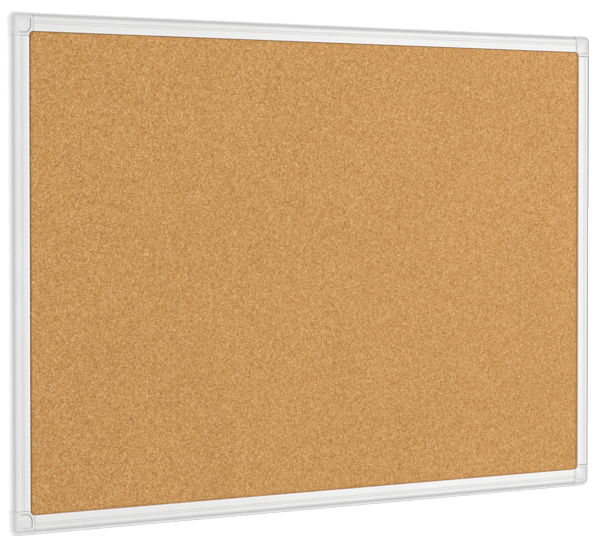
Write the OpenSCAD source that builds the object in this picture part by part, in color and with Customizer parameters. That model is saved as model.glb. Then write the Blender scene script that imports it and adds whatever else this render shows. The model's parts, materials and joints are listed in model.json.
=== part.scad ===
// Cork bulletin board in an extruded aluminium frame with moulded plastic corners.
//
// Millimetres. The origin is the centre of the back plane, X runs to the right,
// Z runs up, and the front of the board faces -Y.
//
// The modules draw in board space: x and y lie in the plane of the board, and z is
// the depth measured forward from the wall. upright() stands the result on end.

/* [Board] */
// Overall width across the frame
board_w = 900; // [450:50:1800]
// Overall height of the frame
board_h = 600; // [300:50:1200]
// Depth from the wall to the front of the frame
depth = 12; // [11.5:0.5:16]

/* [Rail] */
// Width of a rail from its outer edge to the cork
rail_w = 22.5; // [22:0.5:25]
// Thickness of the extruded walls
wall = 1.2; // [1:0.1:1.4]
// Radius that rounds the outer front edge
edge_r = 7; // [6:0.5:7.5]
// Radius of the bowed side behind that rounding
side_r = 14; // [12:0.5:15]
// Radius that rounds the inner front edge
lip_r = 1.2; // [0.4:0.1:1.2]
// Distance from the outer edge to the first decorative groove
groove_1 = 10.9; // [9.5:0.1:11.5]
// Distance from the outer edge to the second decorative groove
groove_2 = 13.4; // [13:0.1:14]
// Radius of a decorative groove
groove_r = 0.5; // [0.2:0.05:0.6]
// Distance from the outer edge to the web that stops the panel
web_at = 13; // [12.8:0.1:13.5]
// How far the back flange reaches in behind the panel
flange_w = 19.5; // [18:0.5:20.5]

/* [Corner moulding] */
// Side of the square corner moulding
corner_size = 27.5; // [27:0.5:33]
// Radius of the outer corner
corner_r = 8; // [8:0.5:12]
// Gap between a corner moulding and the end of a rail
joint_gap = 0.4; // [0.1:0.05:0.6]
// Length of a spigot that plugs into a rail
spigot_len = 30; // [24:1:60]
// Clearance all round a spigot
spigot_clear = 0.15; // [0.05:0.05:0.3]

/* [Cap] */
// Side of the square pocket that takes a cap
pocket_size = 16.4; // [16:0.1:17]
// Distance from the outer edges to the pocket
pocket_at = 8.2; // [8:0.1:8.5]
// Radius on the pocket's inner corner
pocket_r = 8.5; // [6:0.5:10]
// Radius on the pocket's other corners
pocket_small_r = 2; // [1:0.25:2.5]
// Gap beside a cap along its two outer sides
cap_gap = 0.2; // [0.15:0.05:0.5]
// Wider gap for a fingernail along a cap's two inner sides
nail_gap = 0.6; // [0.4:0.05:0.8]
// Chamfer on the two inner sides of a cap, beside the wider gap
nail_slope = 0.8; // [0.4:0.05:1]
// Thickness of a cap
cap_t = 2; // [1.4:0.1:2.2]
// Diameter of a cap's friction pegs
peg_d = 3; // [2:0.1:3.2]
// Length of a friction peg below the cap
peg_len = 4.5; // [3:0.5:7]

/* [Panel] */
// Depth of the recess from the frame's front down to the cork
recess = 3; // [2.5:0.1:4]
// Thickness of the cork sheet
cork_t = 2; // [1:0.5:3]
// Thickness of the backing sheet
backing_t = 0.8; // [0.4:0.1:1.2]
// Clearance between the panel's edge and the web
panel_clear = 0.4; // [0.2:0.1:1]
// How much is clipped off each corner of the panel
panel_clip = 8; // [7:0.5:10]

/* [Fixing] */
// Distance from the outer edges to the centre of a wall screw's hole
hole_at = 12.5; // [12.5:0.1:13]
// Diameter of a wall screw's hole
hole_d = 4.5; // [3.5:0.1:5]
// Diameter of the countersink round a wall screw's hole
sink_d = 8; // [6:0.1:8]
// Thread diameter of the screws that hold the corners
screw_d = 2.9; // [2.2:0.1:3]
// Head diameter of the screws that hold the corners
head_d = 5.5; // [4.5:0.1:6]
// Length of the screws that hold the corners
screw_len = 7.5; // [6.5:0.5:8]

/* [Hidden] */

$fn = 64;
cork_front = depth - recess;
panel_at = web_at + wall;
panel_edge = panel_at + panel_clear;
core_back = wall + backing_t;
core_t = cork_front - cork_t - core_back;
inner_r = corner_size - rail_w;
lip_t = 1.4;
edge_tilt = 60;
side_foot = depth - edge_r - (side_r - edge_r) * cos(edge_tilt);
face_from = side_r - (side_r - edge_r) * sin(edge_tilt);
corner_bend = max(corner_r, face_from);
seat_gap = 0.1;
pocket_floor = depth - cap_t - seat_gap;
peg_across = 21;
peg_in = 10.6;
peg_play = 0.06;
sink_depth = (sink_d - hole_d) / 2;
screw_at = corner_size + spigot_len / 2;
screw_in = (wall + web_at) / 2;
screw_play = 0.05;
head_sunk = 0.05;
core_wall = 2.4;
core_len = spigot_len / 2 - 6;
core_top = depth - 4.5;
drive_w = 0.7;
drive_l = 3;
drive_d = 0.8;
over = 1;

aluminium = [0.80, 0.82, 0.83];
plastic = [0.86, 0.87, 0.87];
cork = [0.78, 0.58, 0.36];
softboard = [0.62, 0.50, 0.36];
backing = [0.55, 0.52, 0.47];
steel = [0.70, 0.71, 0.72];

// Stands board space on end: depth becomes -Y and the board's y becomes Z.
module upright() {
    rotate([90, 0, 0])
        children();
}

// Waste that rounds a convex corner at the origin, whose material lies in +x +y.
module corner_waste(r) {
    difference() {
        translate([-over, -over])
            square(r + over);
        translate([r, r])
            circle(r = r);
    }
}

// Waste outside the bowed side and the rounding that leads from it to the front.
module side_waste(inset) {
    bend = side_r - (side_r - inset) * sin(edge_tilt);
    difference() {
        translate([-over, side_foot])
            square([bend + over, depth]);
        translate([side_r, side_foot])
            circle(r = side_r - inset);
    }
    difference() {
        translate([bend, depth - edge_r])
            square([face_from - bend, edge_r + over]);
        translate([face_from, depth - edge_r])
            circle(r = edge_r - inset);
    }
}

// Frame edge in section: x runs in from the outer edge and y is the depth.
module edge_outline(width, inset) {
    difference() {
        translate([inset, inset])
            square([width - inset, depth - 2 * inset]);
        side_waste(inset);
    }
}

// Waste that rounds the front edge of the lip beside the cork.
module lip_waste() {
    translate([rail_w, depth])
        rotate(180)
            corner_waste(lip_r);
}

// The two fine round grooves along the face of a rail.
module grooves() {
    for (at = [groove_1, groove_2])
        translate([at, depth])
            circle(r = groove_r);
}

// Space for the panel, with the flange behind it and the hollow lip in front.
module panel_channel() {
    translate([panel_at, wall])
        square([rail_w, cork_front - wall]);
    translate([panel_at, wall])
        square([rail_w - lip_t - panel_at, depth - 2 * wall]);
    translate([flange_w, -over])
        square([rail_w, wall + 2 * over]);
}

// Extruded section of the frame.
module rail_section() {
    difference() {
        edge_outline(rail_w, 0);
        edge_outline(web_at, wall);
        panel_channel();
        grooves();
        lip_waste();
    }
}

// Carries a section along x, with its own x turned to y and its own y to the depth.
module along_x(length) {
    rotate([90, 0, 90])
        linear_extrude(length)
            children();
}

// Countersunk hole through the back flange for one corner screw.
module flange_hole() {
    translate([0, 0, -over])
        cylinder(h = over, d = head_d + 4 * screw_play);
    cylinder(h = wall, d1 = head_d + 4 * screw_play, d2 = screw_d + 2 * screw_play);
    cylinder(h = wall + over, d = screw_d + 2 * screw_play);
}

// Rail for the bottom edge of a board that is as long as the span.
module rail(span) {
    length = span - 2 * (corner_size + joint_gap);
    difference() {
        translate([-length / 2, 0, 0])
            along_x(length)
                rail_section();
        for (side = [-1, 1])
            translate([side * (span / 2 - screw_at), screw_in, 0])
                flange_hole();
    }
}

// Solid corner whose rounded edge runs round the outside. The outer corner is the origin.
module corner_block() {
    translate([corner_bend, corner_bend, 0])
        rotate([0, 0, 180])
            rotate_extrude(angle = 90)
                translate([corner_bend, 0])
                    mirror([1, 0])
                        edge_outline(corner_bend, 0);
    for (flip = [0, 1])
        mirror([flip, -flip, 0])
            translate([corner_bend, 0, 0])
                along_x(corner_size - corner_bend)
                    edge_outline(corner_size, 0);
}

// Outline of the cap's pocket, or of the cap itself when the gaps beside it are given.
module cap_outline(outer_gap, inner_gap) {
    side = pocket_size - outer_gap - inner_gap;
    translate([pocket_at + outer_gap, pocket_at + outer_gap])
        difference() {
            square(side);
            corner_waste(pocket_small_r);
            translate([side, 0])
                mirror([1, 0])
                    corner_waste(pocket_small_r);
            translate([0, side])
                mirror([0, 1])
                    corner_waste(pocket_small_r);
            translate([side, side])
                rotate(180)
                    corner_waste(pocket_r - inner_gap);
        }
}

// Places children at both peg positions.
module at_pegs() {
    for (spot = [[peg_across, peg_in], [peg_in, peg_across]])
        translate([spot[0], spot[1], 0])
            children();
}

// Waste inside the corner: pocket for the panel, round inner corner and its soft edge.
module corner_opening() {
    far = corner_size + over;
    near = panel_at + panel_clip;
    translate([0, 0, wall])
        linear_extrude(cork_front - wall)
            polygon([[near, panel_at], [far, panel_at], [far, far], [panel_at, far], [panel_at, near]]);
    translate([corner_size, corner_size, -over])
        cylinder(h = depth + 2 * over, r = inner_r);
    translate([corner_size, corner_size, 0])
        rotate_extrude()
            translate([inner_r, depth])
                mirror([0, 1])
                    corner_waste(lip_r);
}

// Countersunk hole for one wall screw.
module wall_screw_hole() {
    translate([hole_at, hole_at, -over])
        cylinder(h = depth, d = hole_d);
    translate([hole_at, hole_at, pocket_floor - sink_depth])
        cylinder(h = sink_depth, d1 = hole_d, d2 = sink_d);
}

// Spigot that plugs into the rail along x, cored out from the back.
module spigot() {
    difference() {
        translate([corner_size - over, 0, 0])
            along_x(spigot_len + over)
                edge_outline(web_at - spigot_clear, wall + spigot_clear);
        for (from = [corner_size + 3, corner_size + spigot_len - 3 - core_len])
            translate([from, wall + spigot_clear + core_wall, 0])
                cube([core_len, web_at - wall - 2 * (spigot_clear + core_wall), core_top]);
        translate([screw_at, screw_in, 0])
            cylinder(h = screw_len + over, d = screw_d + 2 * screw_play);
    }
}

// Corner moulding for the bottom left of the board. The outer corner is the origin.
module corner() {
    difference() {
        corner_block();
        corner_opening();
        translate([0, 0, pocket_floor])
            linear_extrude(depth)
                cap_outline(0, 0);
        at_pegs()
            translate([0, 0, pocket_floor - peg_len - seat_gap])
                cylinder(h = depth, d = peg_d + 2 * peg_play);
        wall_screw_hole();
    }
    for (flip = [0, 1])
        mirror([flip, -flip, 0])
            spigot();
}

// Section of the waste that chamfers a cap's inner side. The side's top edge is the origin.
module slope_section() {
    polygon([[-nail_slope, 0], [-nail_slope, over], [over, over], [over, -nail_slope - over]]);
}

// Waste that chamfers the two inner sides of a cap and the round corner between them.
module nail_waste() {
    side = pocket_at + pocket_size - nail_gap;
    bend = pocket_r - nail_gap;
    for (flip = [0, 1])
        mirror([flip, -flip, 0])
            translate([0, side, depth])
                along_x(side - bend)
                    slope_section();
    translate([side - bend, side - bend, depth])
        rotate_extrude(angle = 90)
            translate([bend, 0])
                slope_section();
}

// Cap that hides the wall screw, with two pegs that grip the corner moulding.
module cap() {
    difference() {
        translate([0, 0, depth - cap_t])
            linear_extrude(cap_t)
                cap_outline(cap_gap, nail_gap);
        nail_waste();
    }
    at_pegs()
        translate([0, 0, depth - cap_t - peg_len])
            cylinder(h = peg_len + cap_t / 2, d = peg_d);
}

// Countersunk screw with a cross recess, driven in from the back.
module screw() {
    difference() {
        union() {
            translate([0, 0, head_sunk])
                cylinder(h = wall - head_sunk, d1 = head_d, d2 = screw_d);
            translate([0, 0, head_sunk])
                cylinder(h = screw_len - head_sunk - screw_d / 2, d = screw_d);
            translate([0, 0, screw_len - screw_d / 2])
                cylinder(h = screw_d / 2, d1 = screw_d, d2 = screw_d / 4);
        }
        for (turn = [0, 90])
            rotate([0, 0, turn])
                translate([-drive_l / 2, -drive_w / 2, 0])
                    cube([drive_l, drive_w, drive_d]);
    }
}

// One layer of the panel, with clipped corners.
module panel_layer(from, thickness) {
    x = board_w / 2 - panel_edge;
    y = board_h / 2 - panel_edge;
    c = panel_clip;
    translate([0, 0, from])
        linear_extrude(thickness)
            polygon([
                [-x, -y + c], [-x + c, -y], [x - c, -y], [x, -y + c],
                [x, y - c], [x - c, y], [-x + c, y], [-x, y - c],
            ]);
}

// Puts a piece drawn for the bottom left corner at a chosen corner of the board.
module at_corner(right, top) {
    mirror([right, 0, 0])
        mirror([0, top, 0])
            translate([-board_w / 2, -board_h / 2, 0])
                children();
}

module cork_sheet() {
    color(cork)
        upright()
            panel_layer(cork_front - cork_t, cork_t);
}

module softboard_core() {
    color(softboard)
        upright()
            panel_layer(core_back, core_t);
}

module backing_sheet() {
    color(backing)
        upright()
            panel_layer(wall, backing_t);
}

module level_rail(top) {
    color(aluminium)
        upright()
            mirror([0, top, 0])
                translate([0, -board_h / 2, 0])
                    rail(board_w);
}

module side_rail(right) {
    color(aluminium)
        upright()
            mirror([right, 0, 0])
                translate([-board_w / 2, 0, 0])
                    rotate([0, 0, -90])
                        rail(board_h);
}

module corner_moulding(right, top) {
    color(plastic)
        upright()
            at_corner(right, top)
                corner();
}

module corner_cap(right, top) {
    color(plastic)
        upright()
            at_corner(right, top)
                cap();
}

// All eight corner screws, two at each corner.
module corner_screws() {
    color(steel)
        upright()
            for (right = [0, 1])
                for (top = [0, 1])
                    at_corner(right, top)
                        for (spot = [[screw_at, screw_in], [screw_in, screw_at]])
                            translate([spot[0], spot[1], 0])
                                screw();
}

cork_sheet();
softboard_core();
backing_sheet();
level_rail(1);  // rail_top
level_rail(0);  // rail_bottom
side_rail(0);  // rail_left
side_rail(1);  // rail_right
corner_moulding(0, 1);  // corner_top_left
corner_moulding(1, 1);  // corner_top_right
corner_moulding(0, 0);  // corner_bottom_left
corner_moulding(1, 0);  // corner_bottom_right
corner_cap(0, 1);  // cap_top_left
corner_cap(1, 1);  // cap_top_right
corner_cap(0, 0);  // cap_bottom_left
corner_cap(1, 0);  // cap_bottom_right
corner_screws();
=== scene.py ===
import json
import math

import bmesh
import bpy
import numpy as np
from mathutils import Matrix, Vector

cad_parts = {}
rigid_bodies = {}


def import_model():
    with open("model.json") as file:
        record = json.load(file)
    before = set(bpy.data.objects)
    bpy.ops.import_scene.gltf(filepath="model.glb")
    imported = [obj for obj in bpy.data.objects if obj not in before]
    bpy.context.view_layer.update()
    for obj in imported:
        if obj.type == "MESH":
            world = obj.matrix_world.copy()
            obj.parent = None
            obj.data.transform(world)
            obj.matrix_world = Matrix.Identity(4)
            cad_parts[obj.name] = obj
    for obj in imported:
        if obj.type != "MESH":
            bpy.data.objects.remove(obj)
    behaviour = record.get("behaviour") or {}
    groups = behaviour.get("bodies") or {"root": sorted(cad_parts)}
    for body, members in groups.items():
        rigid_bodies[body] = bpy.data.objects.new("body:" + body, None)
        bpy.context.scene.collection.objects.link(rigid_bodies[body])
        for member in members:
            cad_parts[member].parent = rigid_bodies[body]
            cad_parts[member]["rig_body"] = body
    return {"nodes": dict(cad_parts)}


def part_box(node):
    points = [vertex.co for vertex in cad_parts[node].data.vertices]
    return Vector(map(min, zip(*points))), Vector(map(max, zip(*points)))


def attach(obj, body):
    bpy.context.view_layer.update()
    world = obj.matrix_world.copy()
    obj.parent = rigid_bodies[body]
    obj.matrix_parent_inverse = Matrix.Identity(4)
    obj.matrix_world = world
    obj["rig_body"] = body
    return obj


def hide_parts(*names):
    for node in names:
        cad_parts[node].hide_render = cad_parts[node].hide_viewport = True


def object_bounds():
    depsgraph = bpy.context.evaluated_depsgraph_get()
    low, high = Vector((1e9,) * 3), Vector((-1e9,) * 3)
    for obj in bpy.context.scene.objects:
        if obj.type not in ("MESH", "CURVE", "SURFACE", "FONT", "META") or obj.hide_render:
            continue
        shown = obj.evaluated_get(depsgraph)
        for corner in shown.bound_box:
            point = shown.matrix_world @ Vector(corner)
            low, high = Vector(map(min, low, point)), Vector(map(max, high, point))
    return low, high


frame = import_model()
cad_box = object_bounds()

CORNERS = ("top_left", "top_right", "bottom_left", "bottom_right")
LEVEL_RAILS = ("rail_top", "rail_bottom")
SIDE_RAILS = ("rail_left", "rail_right")

# Sizes and places are in the row frame, in metres. Only the camera's lens and sensor are in
# millimetres. Angles are in degrees.

# Camera
CAMERA_PLACE = (-2.1077, -2.7211, 0.1038)
CAMERA_YAW = 37.364
CAMERA_PITCH = -1.885
CAMERA_LENS = 166.44
SENSOR_WIDTH = 36.0

# Surrounding light: its strength, and the directions over which each part of it comes in
BACKDROP = 1.1
SURROUND = 0.56
LEAST_GLOW = 0.02
FRONT_GLOW = 0.50
FRONT_REACH = (-0.30, -1.0)
BACK_GLOW = 0.72
BACK_REACH = (-0.10, 0.65)
PANEL_GLOW = 0.20
PANEL_PLACE = (0.82, -0.57, 0.0)
PANEL_REACH = (0.86, 0.99)
FLAG_SHADE = 0.95
FLAG_PLACE = (0.98, 0.2, 0.0)
FLAG_REACH = (0.80, 0.95)

# Lamps
SOFTBOX_POWER = 1.45
SOFTBOX_PLACE = (1.3, -1.3, 0.0)
SOFTBOX_AIM = (0.45, 0.0, 0.0)
SOFTBOX_SIZE = (0.7, 1.7)
KEY_POWER = 5.0
KEY_PLACE = (-0.80, -0.55, 0.14)
KEY_SPREAD = 10.0
CAP_LIGHT_SPREAD = 10.0
CAP_LIGHTS = {
    "top_left": ((-1.0, -0.12, 0.0), 1.2),
    "bottom_left": ((-1.0, -0.12, 0.0), 1.2),
    "top_right": ((-1.0, -0.12, -1.1), 1.8),
    "bottom_right": ((-1.0, -0.12, 1.1), 2.2),
}
FLOOR_LIGHT_POWER = 3.2
FLOOR_LIGHT_PLACE = (-0.9, -1.2, 1.4)
FLOOR_LIGHT_SPREAD = 40.0

# Stage
FLOOR_SIZE = 60.0
FLOOR_DROP = 0.0006

# Cork sheet: its grid, its relief, and the edge that the frame presses down
CORK_CELL = 0.0026
CORK_CLIP = 0.008
CORK_SEED = 11
GRAIN_DEPTH = 0.00007
WAVE_DEPTH = 0.00010
WAVE_COUNT = 14
WAVE_TURNS = 10.0
LINE_GAP = 0.0003
PRESS_DEPTH = 0.0008
PRESS_WIDTH = 0.0024
PRESS_STEPS = (-0.0006, 0.0, 0.0006, 0.0012, 0.0018, 0.0024)

# Cork granules: cells in a metre, and how far their outlines wander
COARSE_CELLS = 860.0
FINE_CELLS = 1700.0
BARK_CELLS = 430.0
PALE_CELLS = 640.0
RAGGED = 0.0011

# Opening in the frame, and the colour of the frame around it: a painted highlight on the lip, painted
# shade on faces turned to the back and at the right-hand joints, and drawn lines
OPENING_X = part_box("rail_right")[0].x
OPENING_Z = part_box("rail_top")[0].z
OPENING_ROUND = 0.005
# Painted highlight: the lip beside the cork is painted lighter within this width, wider on the left
# rail, in this colour.
LIP_HIGHLIGHT_WIDTH = 0.0017
LIP_HIGHLIGHT_WIDTH_LEFT = 0.0031
LIP_HIGHLIGHT_COLOUR = (0.985, 0.985, 0.985)
# Painted shade: faces turned towards the back are darkened by this tint, as far as their normal turns
# back.
BACK_FACE_SHADE_TINT = (0.66, 0.66, 0.65)
BACK_FACE_SHADE_TURN = (0.80, 0.95)
DRAWN_ALONG = 3.0
DRAWN_ACROSS = 2400.0
# Painted shade at the right-hand joints: the last part of a rail's end is darkened by this tint.
JOINT_SHADE_WIDTH = 0.0006
JOINT_SHADE_TINT = (0.42, 0.42, 0.42)

# Rounding of moulded edges
CAP_ROUND = 0.00028
CORNER_ROUND = 0.00022
SHARP_ANGLE = 40.0
FRONT_LAYER = 0.0026


# ---------------------------------------------------------------- shader helpers

def new_material(name):
    """An empty node material, its tree and its principled shader."""
    material = bpy.data.materials.new(name)
    material.use_nodes = True
    tree = material.node_tree
    shader = tree.nodes["Principled BSDF"]
    return material, tree, shader


def add(tree, kind, values=None, **settings):
    """Adds one node. Values go to its inputs, as numbers or as sockets to link."""
    node = tree.nodes.new(kind)
    for key, value in settings.items():
        setattr(node, key, value)
    for key, value in (values or {}).items():
        if isinstance(value, bpy.types.NodeSocket):
            tree.links.new(value, node.inputs[key])
        else:
            node.inputs[key].default_value = value
    return node


def position(tree, stretch=(1.0, 1.0, 1.0)):
    """The point in the row frame, in metres, stretched along each axis."""
    source = add(tree, "ShaderNodeTexCoord")
    mapping = add(
        tree, "ShaderNodeMapping",
        {"Vector": source.outputs["Object"], "Scale": stretch},
    )
    return mapping.outputs["Vector"]


def noise(tree, vector, scale, detail=2.0, roughness=0.5):
    """A noise texture. Its Fac output is a tone, and its Color output three of them."""
    return add(
        tree, "ShaderNodeTexNoise",
        {"Vector": vector, "Scale": scale, "Detail": detail, "Roughness": roughness},
    )


def cells(tree, vector, scale, feature="F1"):
    """A texture of random cells."""
    return add(
        tree, "ShaderNodeTexVoronoi",
        {"Vector": vector, "Scale": scale},
        feature=feature,
    )


def channels(tree, colour):
    """The three channels of a colour."""
    return add(tree, "ShaderNodeSeparateColor", {"Color": colour}).outputs


def axes(tree, vector):
    """The three coordinates of a vector."""
    return add(tree, "ShaderNodeSeparateXYZ", {"Vector": vector}).outputs


def maths(tree, operation, first, second=0.0):
    """One calculation on numbers or sockets."""
    node = add(tree, "ShaderNodeMath", {0: first, 1: second}, operation=operation)
    return node.outputs[0]


def product(tree, first, second):
    """Two values multiplied."""
    return maths(tree, "MULTIPLY", first, second)


def total(tree, first, *others):
    """All the values added up."""
    for other in others:
        first = maths(tree, "ADD", first, other)
    return first


def vector_maths(tree, operation, values, output=0):
    """One calculation on vectors."""
    return add(tree, "ShaderNodeVectorMath", values, operation=operation).outputs[output]


def spread(tree, value, low, high, to_low=0.0, to_high=1.0):
    """Maps the range low to high onto another range, clamped."""
    node = add(
        tree, "ShaderNodeMapRange",
        {"Value": value, "From Min": low, "From Max": high, "To Min": to_low, "To Max": to_high},
    )
    return node.outputs[0]


def ramp(tree, factor, stops):
    """A colour ramp through (place, colour) stops."""
    node = add(tree, "ShaderNodeValToRGB", {"Fac": factor})
    elements = node.color_ramp.elements
    while len(elements) < len(stops):
        elements.new(0.5)
    for element, (place, colour) in zip(elements, stops):
        element.position = place
        element.color = (*colour, 1.0)
    return node.outputs["Color"]


def blend_colour(tree, factor, first, second, mode="MIX"):
    """Two colours blended. A tone in place of a colour works as grey."""
    node = add(tree, "ShaderNodeMix", data_type="RGBA", blend_type=mode)
    for index, value in ((0, factor), (6, first), (7, second)):
        if isinstance(value, bpy.types.NodeSocket):
            tree.links.new(value, node.inputs[index])
        elif index == 0:
            node.inputs[index].default_value = value
        else:
            node.inputs[index].default_value = (*value, 1.0)
    return node.outputs[2]


def bump(tree, shader, height, depth, strength=1.0):
    """Turns a height in 0..1 into relief of a depth in metres."""
    node = add(
        tree, "ShaderNodeBump",
        {"Height": height, "Distance": depth, "Strength": strength},
    )
    tree.links.new(node.outputs["Normal"], shader.inputs["Normal"])


def opening_distance(tree):
    """How far a point lies outside the frame's opening, in metres, measured along the front."""
    place = axes(tree, position(tree))
    beyond = []
    for coordinate, edge in ((place["X"], OPENING_X), (place["Z"], OPENING_Z)):
        from_middle = maths(tree, "ABSOLUTE", coordinate)
        past_edge = maths(tree, "SUBTRACT", from_middle, edge - OPENING_ROUND)
        beyond.append(maths(tree, "MAXIMUM", past_edge, 0.0))
    corner = add(tree, "ShaderNodeCombineXYZ", {"X": beyond[0], "Y": beyond[1]}).outputs[0]
    reach = vector_maths(tree, "LENGTH", {0: corner}, "Value")
    return maths(tree, "SUBTRACT", reach, OPENING_ROUND)


def lip_highlight_and_back_shade(tree, colour, highlight_width=LIP_HIGHLIGHT_WIDTH):
    """Paints a highlight on the lip beside the cork, and paints shade on the faces turned towards the
    back, to the wall.
    """
    # painted highlight: the lip is painted lighter near the opening
    lip_highlight = spread(tree, opening_distance(tree), highlight_width, highlight_width * 0.75)
    colour = blend_colour(tree, lip_highlight, colour, LIP_HIGHLIGHT_COLOUR)
    # painted shade: faces whose normal points back are darkened
    normal = add(tree, "ShaderNodeNewGeometry").outputs["True Normal"]
    back_face_shade = spread(tree, axes(tree, normal)["Y"], *BACK_FACE_SHADE_TURN)
    return blend_colour(tree, back_face_shade, colour, BACK_FACE_SHADE_TINT, "MULTIPLY")


def joint_shade_colour(tree, colour, along, end):
    """Paints shade on a rail's end at a joint, where a coordinate comes close to the rail's end."""
    shaded_end = spread(tree, along, end - JOINT_SHADE_WIDTH, end - JOINT_SHADE_WIDTH * 0.5)
    return blend_colour(tree, shaded_end, colour, JOINT_SHADE_TINT, "MULTIPLY")


def ragged(tree, point):
    """The point shifted by a fine noise, so that the outlines of cells wander."""
    drift = noise(tree, point, 600.0, 3.0, 0.6).outputs["Color"]
    centred = vector_maths(tree, "SUBTRACT", {0: drift, 1: (0.5, 0.5, 0.5)})
    offset = vector_maths(tree, "SCALE", {0: centred, "Scale": RAGGED})
    return vector_maths(tree, "ADD", {0: point, 1: offset})


def specks(tree, point, scale, channel, pick, middle):
    """A mask of the middles of a few cells, picked by one channel of each cell's tone."""
    found = cells(tree, point, scale)
    picked = spread(tree, channels(tree, found.outputs["Color"])[channel], *pick)
    return product(tree, picked, spread(tree, found.outputs["Distance"], *middle))


def uneven(tree, value, change):
    """A tone near 1 that follows the middle half of a noise, down and up by the change."""
    return spread(tree, value, 0.25, 0.75, 1.0 - change, 1.0 + change)


# ---------------------------------------------------------------- materials

def cork_tone_and_painted_light(tree, point):
    """The slow changes of the cork's brightness: clouds and drifts of tone, and painted light that
    brightens the cork towards the right and the top.
    """
    place = axes(tree, point)
    cloud = noise(tree, point, 130.0, 5.0, 0.6).outputs["Fac"]
    drift = noise(tree, point, 7.0, 3.0, 0.5).outputs["Fac"]
    # painted light: brighter towards the right and the top of the board
    painted_light_fade = product(
        tree,
        spread(tree, place["X"], -0.43, 0.43, 0.955, 1.055),
        spread(tree, place["Z"], -0.28, 0.28, 0.985, 1.025),
    )
    return product(tree, product(tree, uneven(tree, cloud, 0.045), uneven(tree, drift, 0.025)), painted_light_fade)


def cork_material():
    """Pressed cork granules: tan cells of two sizes, bark specks, pale grains, a slow drift, painted
    shade along the granules' outlines, and painted light towards the right and the top.
    """
    material, tree, shader = new_material("cork")
    point = position(tree)
    bent = ragged(tree, point)
    coarse = channels(tree, cells(tree, bent, COARSE_CELLS).outputs["Color"])
    fine = channels(tree, cells(tree, bent, FINE_CELLS).outputs["Color"])
    from_edge = cells(tree, bent, COARSE_CELLS, "DISTANCE_TO_EDGE").outputs["Distance"]
    bark = specks(tree, bent, BARK_CELLS, 1, (0.90, 0.93), (0.46, 0.28))
    pale = specks(tree, bent, PALE_CELLS, 2, (0.90, 0.94), (0.55, 0.35))

    colour = ramp(tree, total(tree, product(tree, coarse[0], 0.62), product(tree, fine[0], 0.38)), [
        (0.05, (0.204, 0.072, 0.009)),
        (0.26, (0.297, 0.132, 0.030)),
        (0.46, (0.366, 0.183, 0.053)),
        (0.64, (0.408, 0.220, 0.074)),
        (0.81, (0.453, 0.266, 0.109)),
        (0.95, (0.513, 0.346, 0.186)),
    ])
    # painted shade in the crevices between granules: darker along each granule's outline
    crevice_shade = spread(tree, from_edge, 0.0, 0.10, 0.72, 1.0)
    colour = blend_colour(tree, 1.0, colour, crevice_shade, "MULTIPLY")
    colour = blend_colour(tree, product(tree, bark, 0.72), colour, (0.145, 0.053, 0.013))
    colour = blend_colour(tree, product(tree, pale, 0.60), colour, (0.568, 0.389, 0.205))
    # random tone, and the painted light towards the right and the top
    colour = blend_colour(tree, 1.0, colour, cork_tone_and_painted_light(tree, point), "MULTIPLY")
    tree.links.new(colour, shader.inputs["Base Color"])

    shader.inputs["Specular IOR Level"].default_value = 0.25
    rough = spread(tree, fine[1], 0.0, 1.0, 0.80, 0.95)
    tree.links.new(rough, shader.inputs["Roughness"])
    dust = noise(tree, point, 3200.0, 2.0, 0.6).outputs["Fac"]
    height = total(
        tree,
        product(tree, spread(tree, from_edge, 0.0, 0.16), 0.45),
        product(tree, fine[2], 0.35),
        product(tree, dust, 0.20),
        product(tree, bark, -0.30),
    )
    bump(tree, shader, height, 0.00016, 0.8)
    return material


def anodised_material(rail, highlight_width):
    """Satin anodised aluminium with fine drawn lines along the rail, a painted highlight on the lip,
    painted shade on faces turned to the back, and painted shade at the right-hand joints.
    """
    material, tree, shader = new_material("anodised_" + rail)
    if rail in LEVEL_RAILS:
        stretch = (DRAWN_ALONG, DRAWN_ACROSS, DRAWN_ACROSS)
    else:
        stretch = (DRAWN_ACROSS, DRAWN_ACROSS, DRAWN_ALONG)
    drawn = noise(tree, position(tree, stretch), 1.0, 4.0, 0.65).outputs["Fac"]
    cloud = noise(tree, position(tree), 22.0, 3.0, 0.5).outputs["Fac"]
    colour = ramp(tree, drawn, [
        (0.30, (0.800, 0.798, 0.795)),
        (0.70, (0.860, 0.858, 0.855)),
    ])
    colour = blend_colour(tree, 1.0, colour, spread(tree, cloud, 0.3, 0.7, 0.975, 1.0), "MULTIPLY")
    place = axes(tree, position(tree))
    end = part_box(rail)[1]
    # painted shade on the rail ends at the right-hand joints
    if rail in LEVEL_RAILS:
        colour = joint_shade_colour(tree, colour, place["X"], end.x)
    elif rail == "rail_right":
        colour = joint_shade_colour(tree, colour, maths(tree, "ABSOLUTE", place["Z"]), end.z)
    # the lip's painted highlight and the painted shade on back-turned faces
    tree.links.new(lip_highlight_and_back_shade(tree, colour, highlight_width), shader.inputs["Base Color"])
    shader.inputs["Metallic"].default_value = 0.85
    rough = spread(tree, drawn, 0.3, 0.7, 0.44, 0.36)
    tree.links.new(rough, shader.inputs["Roughness"])
    bump(tree, shader, drawn, 0.000012, 0.5)
    return material


def moulded_material(name, low, high):
    """Silver-grey moulded plastic with a satin sheen and a fine spark-eroded grain."""
    material, tree, shader = new_material(name)
    point = position(tree)
    grain = noise(tree, point, 2600.0, 3.0, 0.6).outputs["Fac"]
    cloud = noise(tree, point, 130.0, 3.0, 0.5).outputs["Fac"]
    colour = ramp(tree, cloud, [(0.30, low), (0.70, high)])
    # the lip's painted highlight and the painted shade on back-turned faces
    tree.links.new(lip_highlight_and_back_shade(tree, colour), shader.inputs["Base Color"])
    shader.inputs["Metallic"].default_value = 0.55
    rough = spread(tree, grain, 0.3, 0.7, 0.38, 0.52)
    tree.links.new(rough, shader.inputs["Roughness"])
    bump(tree, shader, grain, 0.00002, 0.5)
    return material


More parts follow.
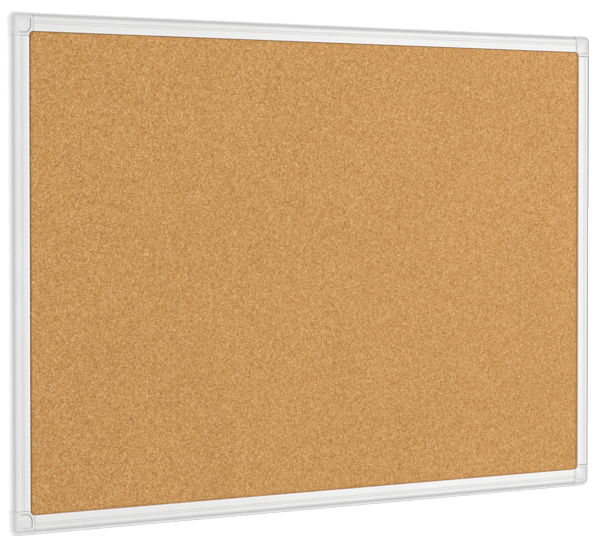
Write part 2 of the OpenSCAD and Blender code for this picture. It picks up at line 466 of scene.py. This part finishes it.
def softboard_material():
    """Pressed wood fibre, seen only where the panel's edge shows."""
    material, tree, shader = new_material("softboard")
    fibres = noise(tree, position(tree, (900.0, 3000.0, 900.0)), 1.0, 5.0, 0.7).outputs["Fac"]
    colour = ramp(tree, fibres, [
        (0.25, (0.230, 0.140, 0.070)),
        (0.75, (0.470, 0.320, 0.180)),
    ])
    tree.links.new(colour, shader.inputs["Base Color"])
    shader.inputs["Roughness"].default_value = 0.95
    bump(tree, shader, fibres, 0.0003, 0.8)
    return material


def backing_material():
    """Grey-brown backing board: long pale fibres, faint mottling and a few dark flecks."""
    material, tree, shader = new_material("backing")
    point = position(tree)
    fibres = noise(tree, position(tree, (140.0, 900.0, 900.0)), 1.0, 5.0, 0.7).outputs["Fac"]
    cloud = noise(tree, point, 12.0, 4.0, 0.55).outputs["Fac"]
    colour = ramp(tree, fibres, [
        (0.25, (0.290, 0.235, 0.170)),
        (0.55, (0.370, 0.305, 0.225)),
        (0.80, (0.450, 0.380, 0.290)),
    ])
    colour = blend_colour(tree, 1.0, colour, spread(tree, cloud, 0.3, 0.7, 0.95, 1.04), "MULTIPLY")
    flecks = specks(tree, point, 260.0, 0, (0.93, 0.95), (0.20, 0.08))
    colour = blend_colour(tree, product(tree, flecks, 0.6), colour, (0.13, 0.09, 0.05))
    tree.links.new(colour, shader.inputs["Base Color"])
    rough = spread(tree, fibres, 0.3, 0.7, 0.78, 0.9)
    tree.links.new(rough, shader.inputs["Roughness"])
    bump(tree, shader, fibres, 0.00008, 0.7)
    return material


def steel_material():
    """Zinc-plated steel with a fine, slightly uneven brightness."""
    material, tree, shader = new_material("zinc_steel")
    cloud = noise(tree, position(tree), 900.0, 4.0, 0.6).outputs["Fac"]
    colour = ramp(tree, cloud, [
        (0.30, (0.500, 0.510, 0.530)),
        (0.70, (0.680, 0.690, 0.700)),
    ])
    tree.links.new(colour, shader.inputs["Base Color"])
    shader.inputs["Metallic"].default_value = 1.0
    rough = spread(tree, cloud, 0.3, 0.7, 0.26, 0.42)
    tree.links.new(rough, shader.inputs["Roughness"])
    bump(tree, shader, cloud, 0.00002, 0.4)
    return material


def floor_material():
    """Plain pale studio floor."""
    material, tree, shader = new_material("studio_floor")
    cloud = noise(tree, position(tree), 3.0, 2.0, 0.5).outputs["Fac"]
    colour = ramp(tree, cloud, [
        (0.30, (0.900, 0.900, 0.900)),
        (0.70, (0.920, 0.920, 0.920)),
    ])
    tree.links.new(colour, shader.inputs["Base Color"])
    shader.inputs["Roughness"].default_value = 0.9
    shader.inputs["Specular IOR Level"].default_value = 0.1
    return material


# ---------------------------------------------------------------- pieces

def dress(node, material):
    """Gives a CAD node a material in every slot."""
    for slot in frame["nodes"][node].material_slots:
        slot.material = material


def new_piece(name, mesh, material, node):
    """A Blender piece that stands for a CAD node and rides on its body."""
    piece = bpy.data.objects.new(name, mesh)
    bpy.context.scene.collection.objects.link(piece)
    mesh.materials.clear()
    mesh.materials.append(material)
    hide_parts(node)
    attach(piece, frame["nodes"][node]["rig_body"])
    return piece


def grid_lines(low, high, edge):
    """Even grid lines from low to high, with finer ones just inside the opening's two edges."""
    count = round((high - low) / CORK_CELL) + 1
    even = np.linspace(low, high, count)
    inner = edge - np.array(PRESS_STEPS)
    fine = np.concatenate([-inner, inner])
    clear = np.abs(even[:, None] - fine[None, :]).min(axis=1) > LINE_GAP
    return np.sort(np.concatenate([even[clear], fine]))


def cork_depths(x, z):
    """How far each grid point lies behind the cork's front: relief, and the edge pressed by the lip."""
    rng = np.random.default_rng(CORK_SEED)
    grain = rng.random(x.shape)
    waves = np.zeros(x.shape)
    for _ in range(WAVE_COUNT):
        turns_x, turns_z = rng.uniform(-WAVE_TURNS, WAVE_TURNS, 2)
        start = rng.uniform(0.0, 2.0 * math.pi)
        waves += np.sin(2.0 * math.pi * (turns_x * x + 1.5 * turns_z * z) + start)
    waves = (waves - waves.min()) / (waves.max() - waves.min())
    across = np.maximum(np.abs(x) - (OPENING_X - OPENING_ROUND), 0.0)
    along = np.maximum(np.abs(z) - (OPENING_Z - OPENING_ROUND), 0.0)
    inside = OPENING_ROUND - np.hypot(across, along)
    press = np.clip(1.0 - inside / PRESS_WIDTH, 0.0, 1.0) ** 2
    return WAVE_DEPTH * waves + GRAIN_DEPTH * grain + PRESS_DEPTH * press


def cork_grid(low, high):
    """The cork's uneven front as a mesh of small squares."""
    grid_x, grid_z = np.meshgrid(
        grid_lines(low.x, high.x, OPENING_X), grid_lines(low.z, high.z, OPENING_Z),
    )
    rows, columns = grid_x.shape
    depth = low.y + cork_depths(grid_x, grid_z)
    points = np.stack([grid_x, depth, grid_z], axis=-1).reshape(-1, 3)
    corner = np.arange(rows * columns).reshape(rows, columns)
    faces = np.stack(
        [corner[:-1, :-1], corner[:-1, 1:], corner[1:, 1:], corner[1:, :-1]], axis=-1,
    ).reshape(-1, 4)
    mesh = bpy.data.meshes.new("cork_surface")
    mesh.from_pydata(points.tolist(), [], faces.tolist())
    return mesh


def smooth_faces(shape, smooth):
    """Shades a face smooth where the test says so, and keeps the edges sharp between steep faces."""
    for face in shape.faces:
        face.smooth = smooth(face)
    for edge in shape.edges:
        edge.smooth = len(edge.link_faces) == 2 and edge.calc_face_angle() < math.radians(SHARP_ANGLE)


def is_small_front(face):
    """Whether a face of the cork belongs to its uneven front."""
    return abs(face.normal.y) > 0.9 and len(face.verts) <= 5


def cork_piece(material):
    """The cork sheet as a dense skin with real relief, clipped corners, sides and a back."""
    low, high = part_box("cork_sheet")
    mesh = cork_grid(low, high)
    shape = bmesh.new()
    shape.from_mesh(mesh)
    for side in (-1.0, 1.0):
        for end in (-1.0, 1.0):
            outer = Vector((side * (high.x - CORK_CLIP), 0.0, end * high.z))
            bmesh.ops.bisect_plane(
                shape,
                geom=[*shape.verts, *shape.edges, *shape.faces],
                plane_co=outer,
                plane_no=(side, 0.0, end),
                clear_outer=True,
            )
    rim = [edge for edge in shape.edges if edge.is_boundary]
    extruded = bmesh.ops.extrude_edge_only(shape, edges=rim)["geom"]
    for item in extruded:
        if isinstance(item, bmesh.types.BMVert):
            item.co.y = high.y
    back = [item for item in extruded if isinstance(item, bmesh.types.BMEdge)]
    bmesh.ops.contextual_create(shape, geom=back)
    bmesh.ops.recalc_face_normals(shape, faces=shape.faces)
    smooth_faces(shape, is_small_front)
    shape.to_mesh(mesh)
    shape.free()
    return new_piece("cork_surface", mesh, material, "cork_sheet")


def softened_piece(node, material, width, front):
    """A copy of a moulded CAD node whose sharp front edges are finely rounded."""
    shape = bmesh.new()
    shape.from_mesh(frame["nodes"][node].data)
    bmesh.ops.remove_doubles(shape, verts=shape.verts, dist=1e-6)
    edges = [
        edge for edge in shape.edges
        if len(edge.link_faces) == 2
        and edge.calc_face_angle() > math.radians(SHARP_ANGLE)
        and max(vert.co.y for vert in edge.verts) < front
    ]
    bmesh.ops.bevel(
        shape, geom=edges, offset=width, segments=3, profile=0.5,
        affect="EDGES", clamp_overlap=True,
    )
    smooth_faces(shape, lambda face: True)
    mesh = bpy.data.meshes.new(node + "_shell")
    shape.to_mesh(mesh)
    shape.free()
    return new_piece(node + "_shell", mesh, material, node)


# ---------------------------------------------------------------- stage

def make_camera():
    """The camera that looks at the board from the front left."""
    data = bpy.data.cameras.new("photo_camera")
    data.sensor_width = SENSOR_WIDTH
    data.lens = CAMERA_LENS
    data.clip_start = 0.05
    data.clip_end = 200.0
    camera = bpy.data.objects.new("photo_camera", data)
    camera.location = CAMERA_PLACE
    camera.rotation_euler = (
        math.radians(90.0 + CAMERA_PITCH), 0.0, math.radians(-CAMERA_YAW),
    )
    bpy.context.scene.collection.objects.link(camera)
    bpy.context.scene.camera = camera


def make_floor(level):
    """A wide pale floor just under the board's bottom edge."""
    half = FLOOR_SIZE / 2
    mesh = bpy.data.meshes.new("studio_floor")
    mesh.from_pydata(
        [(-half, -half, level), (half, -half, level), (half, half, level), (-half, half, level)],
        [], [(0, 1, 2, 3)],
    )
    mesh.materials.append(floor_material())
    floor = bpy.data.objects.new("studio_floor", mesh)
    bpy.context.scene.collection.objects.link(floor)
    floor.visible_diffuse = False
    floor.visible_glossy = False
    floor.visible_shadow = False
    return floor


def nearness(tree, toward, place):
    """How closely a direction points towards a place, up to 1."""
    return vector_maths(tree, "DOT_PRODUCT", {0: toward, 1: place}, "Value")


def make_world():
    """A white backdrop for the camera, and light that is bright in front and behind, dim beside."""
    world = bpy.data.worlds.new("studio")
    bpy.context.scene.world = world
    world.use_nodes = True
    tree = world.node_tree
    tree.nodes.clear()
    toward = add(tree, "ShaderNodeTexCoord").outputs["Generated"]
    depth = axes(tree, toward)["Y"]
    panel = nearness(tree, toward, PANEL_PLACE)
    flag = nearness(tree, toward, FLAG_PLACE)
    light = total(
        tree, SURROUND,
        spread(tree, depth, *FRONT_REACH, 0.0, FRONT_GLOW),
        spread(tree, depth, *BACK_REACH, 0.0, BACK_GLOW),
        spread(tree, panel, *PANEL_REACH, 0.0, PANEL_GLOW),
        spread(tree, flag, *FLAG_REACH, 0.0, -FLAG_SHADE),
    )
    light = maths(tree, "MAXIMUM", light, LEAST_GLOW)
    path = add(tree, "ShaderNodeLightPath")
    seen = add(tree, "ShaderNodeBackground", {"Color": (1.0, 1.0, 1.0, 1.0), "Strength": BACKDROP})
    cast = add(tree, "ShaderNodeBackground", {"Color": (1.0, 1.0, 1.0, 1.0), "Strength": light})
    mixed = add(
        tree, "ShaderNodeMixShader",
        {0: path.outputs["Is Camera Ray"], 1: cast.outputs[0], 2: seen.outputs[0]},
    )
    add(tree, "ShaderNodeOutputWorld", {"Surface": mixed.outputs[0]})


def linked_light(name, data, place, aim, lit):
    """Puts a light in the scene so that it falls only on the objects in a list."""
    light = bpy.data.objects.new(name, data)
    light.location = place
    light.rotation_euler = (Vector(place) - Vector(aim)).to_track_quat("Z", "Y").to_euler()
    bpy.context.scene.collection.objects.link(light)
    receivers = bpy.data.collections.new(name + "_receivers")
    for piece in lit:
        receivers.objects.link(piece)
    light.light_linking.receiver_collection = receivers
    return light


def soft_sun(name, place, power, spread_angle, lit):
    """A broad distant light that shines from a place towards the origin."""
    data = bpy.data.lights.new(name, "SUN")
    data.energy = power
    data.angle = math.radians(spread_angle)
    return linked_light(name, data, place, (0.0, 0.0, 0.0), lit)


def edge_light(name, place, power, piece):
    """A grazing light for the edges of one piece, which only that piece shades."""
    linking = soft_sun(name, place, power, CAP_LIGHT_SPREAD, [piece]).light_linking
    linking.blocker_collection = linking.receiver_collection


def softbox(name, place, aim, size, power, lit):
    """A tall softbox near the board."""
    data = bpy.data.lights.new(name, "AREA")
    data.shape = "RECTANGLE"
    data.size, data.size_y = size
    data.energy = power
    linked_light(name, data, place, aim, lit)


# ---------------------------------------------------------------- build

make_camera()
make_world()
bpy.context.scene.view_settings.view_transform = "Standard"

for rail in LEVEL_RAILS + SIDE_RAILS:
    dress(rail, anodised_material(rail, LIP_HIGHLIGHT_WIDTH_LEFT if rail == "rail_left" else LIP_HIGHLIGHT_WIDTH))

cork = cork_piece(cork_material())
dress("softboard_core", softboard_material())
dress("backing_sheet", backing_material())
dress("corner_screws", steel_material())

corner_plastic = moulded_material("corner_plastic", (0.815, 0.813, 0.810), (0.850, 0.848, 0.846))
cap_plastic = moulded_material("cap_plastic", (0.800, 0.798, 0.796), (0.835, 0.833, 0.831))
front_zone = cad_box[0].y + FRONT_LAYER
bright_pieces = [frame["nodes"][rail] for rail in LEVEL_RAILS + SIDE_RAILS]
for place in CORNERS:
    corner = softened_piece(
        "corner_" + place, corner_plastic, CORNER_ROUND, front_zone,
    )
    cap = softened_piece("cap_" + place, cap_plastic, CAP_ROUND, front_zone)
    bright_pieces += [corner, cap]
    edge_light("cap_light_" + place, *CAP_LIGHTS[place], cap)

floor = make_floor(cad_box[0].z - FLOOR_DROP)
softbox("softbox", SOFTBOX_PLACE, SOFTBOX_AIM, SOFTBOX_SIZE, SOFTBOX_POWER, bright_pieces)
soft_sun("key", KEY_PLACE, KEY_POWER, KEY_SPREAD, [cork])
soft_sun("floor_light", FLOOR_LIGHT_PLACE, FLOOR_LIGHT_POWER, FLOOR_LIGHT_SPREAD, [floor])
